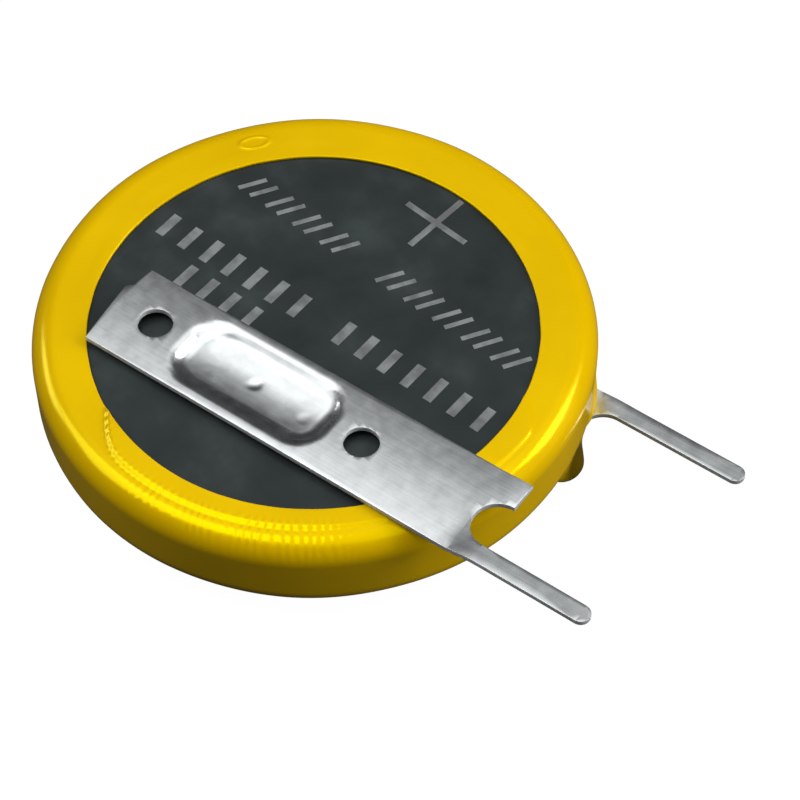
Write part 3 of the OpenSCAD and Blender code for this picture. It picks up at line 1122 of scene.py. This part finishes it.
def floor_material(colour):
    """Floor that the camera sees as white, and that throws little light up at the cell."""
    material, tree, shader = new_material("Floor")
    shader.inputs["Base Color"].default_value = (*colour, 1)
    shader.inputs["Roughness"].default_value = 0.9
    shader.inputs["Specular IOR Level"].default_value = 0.0
    shader.inputs["Emission Color"].default_value = (1, 1, 1, 1)
    seen = add_node(tree, "ShaderNodeLightPath").outputs["Is Camera Ray"]
    feed(tree, shader.inputs["Emission Strength"], math_node(tree, "MULTIPLY", seen, 0.98))
    return material


def place_camera(studio):
    """The camera at the photo's angle, aimed by slopes from the middle of the face."""
    bearing = Vector((math.sin(studio.azimuth), -math.cos(studio.azimuth), 0))
    right = Vector((-bearing.y, bearing.x, 0))
    back = bearing * math.cos(studio.elevation) + Vector((0, 0, math.sin(studio.elevation)))
    up = back.cross(right)
    right_rolled = right * math.cos(studio.roll) + up * math.sin(studio.roll)
    up_rolled = up * math.cos(studio.roll) - right * math.sin(studio.roll)
    middle = Vector((0, 0, FACE_Z + settings().film.thickness))
    sight = -back + right_rolled * studio.aim[0] - up_rolled * studio.aim[1]
    axis_z = -sight.normalized()
    axis_x = up_rolled.cross(axis_z).normalized()
    axis_y = axis_z.cross(axis_x)
    camera = bpy.data.cameras.new("Camera")
    camera.lens = studio.lens
    camera.sensor_width = 36.0
    camera.clip_start = 1 * MM
    holder = bpy.data.objects.new("Camera", camera)
    bpy.context.scene.collection.objects.link(holder)
    turn = Matrix((axis_x, axis_y, axis_z)).transposed().to_4x4()
    holder.matrix_world = Matrix.Translation(middle + back * studio.distance) @ turn
    bpy.context.scene.camera = holder


def place_floor(colour):
    bm = bmesh.new()
    bmesh.ops.create_grid(
        bm, x_segments=1, y_segments=1, size=1.5, matrix=Matrix.Translation((0, 0, CAD_BOX[0][2]))
    )
    mesh = bpy.data.meshes.new("Floor")
    bm.to_mesh(mesh)
    bm.free()
    floor = bpy.data.objects.new("Floor", mesh)
    bpy.context.scene.collection.objects.link(floor)
    mesh.materials.append(floor_material(colour))


def place_strip_light(studio):
    """The long light, with its length along the line between its two ends."""
    low_end, high_end = Vector(studio.strip_low), Vector(studio.strip_high)
    along = high_end - low_end
    size = (along.length, STRIP_LIGHT_W)
    strip = area_light("Strip", (low_end + high_end) / 2, studio.strip_power, size)
    facing = -(low_end + high_end).normalized()
    axis_x = (along - facing * along.dot(facing)).normalized()
    turn = Matrix((axis_x, (-facing).cross(axis_x), -facing)).transposed()
    strip.rotation_euler = turn.to_euler()


class CELL_OT_studio(bpy.types.Operator):
    """Set up the floor, the lights and the camera."""

    bl_idname = "coin_cell.studio"
    bl_label = "Studio"

    def execute(self, context):
        studio = settings().studio
        context.scene.view_settings.view_transform = "Standard"
        place_camera(studio)
        place_floor(studio.floor_colour)
        studio_world()
        place_strip_light(studio)
        area_light("Far lamp", studio.lamp_at, studio.lamp_power, FAR_LAMP)
        side_lamp = area_light("Side lamp", studio.side_at, studio.side_power, SIDE_LAMP)
        side_lamp.visible_glossy = False
        area_light("Low lamp", studio.low_at, studio.low_power, LOW_LAMP)
        return {"FINISHED"}


class CELL_PT_panel(bpy.types.Panel):
    """Lists the steps and the sizes of the coin cell's finish."""

    bl_label = "Coin cell"
    bl_idname = "CELL_PT_panel"
    bl_space_type = "VIEW_3D"
    bl_region_type = "UI"
    bl_category = "Coin cell"

    def draw(self, context):
        layout = self.layout
        for operator in OPERATORS:
            layout.operator(operator.bl_idname)
        for name in ("film", "print", "metal", "studio"):
            group = getattr(context.scene.coin_cell, name)
            box = layout.box()
            for key in group.__annotations__:
                box.prop(group, key)


OPERATORS = (CELL_OT_film, CELL_OT_print, CELL_OT_tabs, CELL_OT_cell, CELL_OT_studio)
SETTINGS = (FilmSettings, PrintSettings, MetalSettings, StudioSettings, CellSettings)
CLASSES = (*SETTINGS, *OPERATORS, CELL_PT_panel)


def register():
    for cls in CLASSES:
        bpy.utils.register_class(cls)
    bpy.types.Scene.coin_cell = PointerProperty(type=CellSettings)


def unregister():
    del bpy.types.Scene.coin_cell
    for cls in reversed(CLASSES):
        bpy.utils.unregister_class(cls)


def main():
    register()
    bpy.ops.coin_cell.film()
    bpy.ops.coin_cell.print()
    bpy.ops.coin_cell.tabs()
    bpy.ops.coin_cell.cell()
    bpy.ops.coin_cell.studio()


if __name__ == "__main__":
    main()
